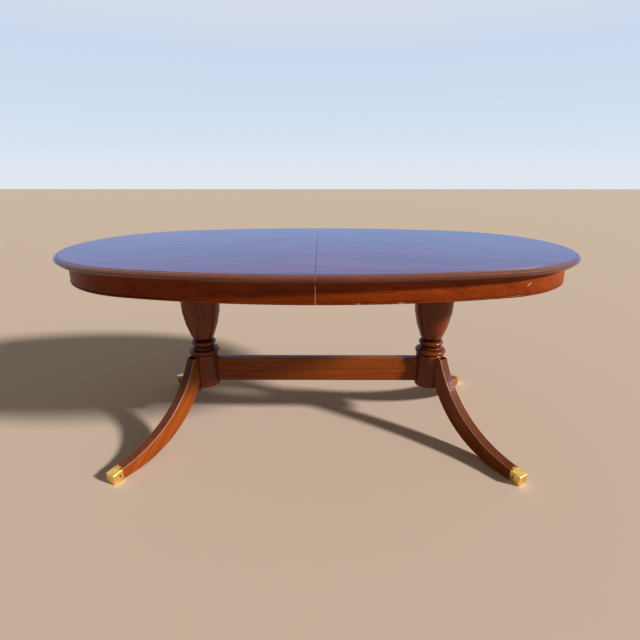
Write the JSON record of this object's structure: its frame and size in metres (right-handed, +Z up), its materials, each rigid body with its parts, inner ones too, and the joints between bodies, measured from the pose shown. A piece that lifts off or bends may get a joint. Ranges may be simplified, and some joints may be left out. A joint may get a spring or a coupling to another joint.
{
  "type": "extending dining table",
  "caption": "Oval extending dining table on twin turned pedestals with sabre legs, brass toe caps and a stretcher; its split top slides apart over a stored leaf.",
  "frame": {"origin": "on the floor under the middle of the closed table", "axes": "+X along the table, the way the right half of the top opens; +Y across it, away from the viewer of the picture; +Z up"},
  "size_m": [1.85, 1.07, 0.762],
  "materials": {
    "mahogany": "gloss lacquer",
    "top_veneer": "polished veneer",
    "hidden_wood": "bare",
    "brass": "polished",
    "steel": "plain"
  },
  "bodies": {
    "base": {"column_left": "mahogany", "column_right": "mahogany", "hub_left": "mahogany", "hub_right": "mahogany", "leg_front_left": "mahogany", "leg_rear_left": "mahogany", "leg_front_right": "mahogany", "leg_rear_right": "mahogany", "toe_cap_front_left": "brass", "toe_cap_rear_left": "brass", "toe_cap_front_right": "brass", "toe_cap_rear_right": "brass", "toe_cap_screws": "brass", "joint_dowels": "hidden_wood", "stretcher": "mahogany", "bearer_left": "hidden_wood", "bearer_right": "hidden_wood", "bearer_screws": "steel", "slide_rail_front": "hidden_wood", "slide_rail_rear": "hidden_wood", "rail_screws": "steel", "leaf_bar_left": "hidden_wood", "leaf_bar_right": "hidden_wood", "leaf_bar_screws": "steel", "pinion_pins": "steel", "leaf_panel_lower": "mahogany", "leaf_panel_upper": "mahogany", "leaf_hinges": "brass"},
    "left_top": {"top_panel_left": "top_veneer", "edge_moulding_left": "mahogany", "apron_left": "mahogany", "glue_blocks_left": "hidden_wood", "batten_inner_left": "hidden_wood", "batten_outer_left": "hidden_wood", "batten_screws_left": "steel", "runner_screws_left": "steel", "runner_front_left": "hidden_wood", "runner_rear_left": "hidden_wood", "rack_front_left": "steel", "rack_rear_left": "steel", "alignment_dowels": "hidden_wood", "latch_pivots": "steel"},
    "right_top": {"top_panel_right": "top_veneer", "edge_moulding_right": "mahogany", "apron_right": "mahogany", "glue_blocks_right": "hidden_wood", "batten_inner_right": "hidden_wood", "batten_outer_right": "hidden_wood", "batten_screws_right": "steel", "runner_screws_right": "steel", "runner_front_right": "hidden_wood", "runner_rear_right": "hidden_wood", "rack_front_right": "steel", "rack_rear_right": "steel", "latch_pegs": "steel"},
    "pinion_front": {"pinion_front": "steel"},
    "pinion_rear": {"pinion_rear": "steel"},
    "latch_front": {"latch_hook_front": "steel"},
    "latch_rear": {"latch_hook_rear": "steel"}
  },
  "joints": [
    {"name": "left_slide", "type": "slide", "parent": "base", "child": "left_top", "axis": [-1, 0, 0], "range_m": [0, 0.2285]},
    {"name": "right_slide", "type": "slide", "parent": "base", "child": "right_top", "axis": [1, 0, 0], "range_m": [0, 0.2285]},
    {"name": "pinion_front_spin", "type": "hinge", "parent": "base", "child": "pinion_front", "pos_m": [0, -0.335, 0.715], "axis": [0, 0, 1], "range_deg": [-655, 0]},
    {"name": "pinion_rear_spin", "type": "hinge", "parent": "base", "child": "pinion_rear", "pos_m": [0, 0.335, 0.715], "axis": [0, 0, 1], "range_deg": [0, 655]},
    {"name": "latch_front_swing", "type": "hinge", "parent": "left_top", "child": "latch_front", "pos_m": [-0.034, -0.428, 0.7345], "axis": [0, 0, -1], "range_deg": [0, 90]},
    {"name": "latch_rear_swing", "type": "hinge", "parent": "left_top", "child": "latch_rear", "pos_m": [-0.034, 0.428, 0.7345], "axis": [0, 0, 1], "range_deg": [0, 90]}
  ],
  "couplings": [
    {"joint": "right_slide", "follows": "left_slide", "ratio": 1},
    {"joint": "pinion_front_spin", "follows": "left_slide", "rad_per_m": -50},
    {"joint": "pinion_rear_spin", "follows": "left_slide", "rad_per_m": 50}
  ]
}
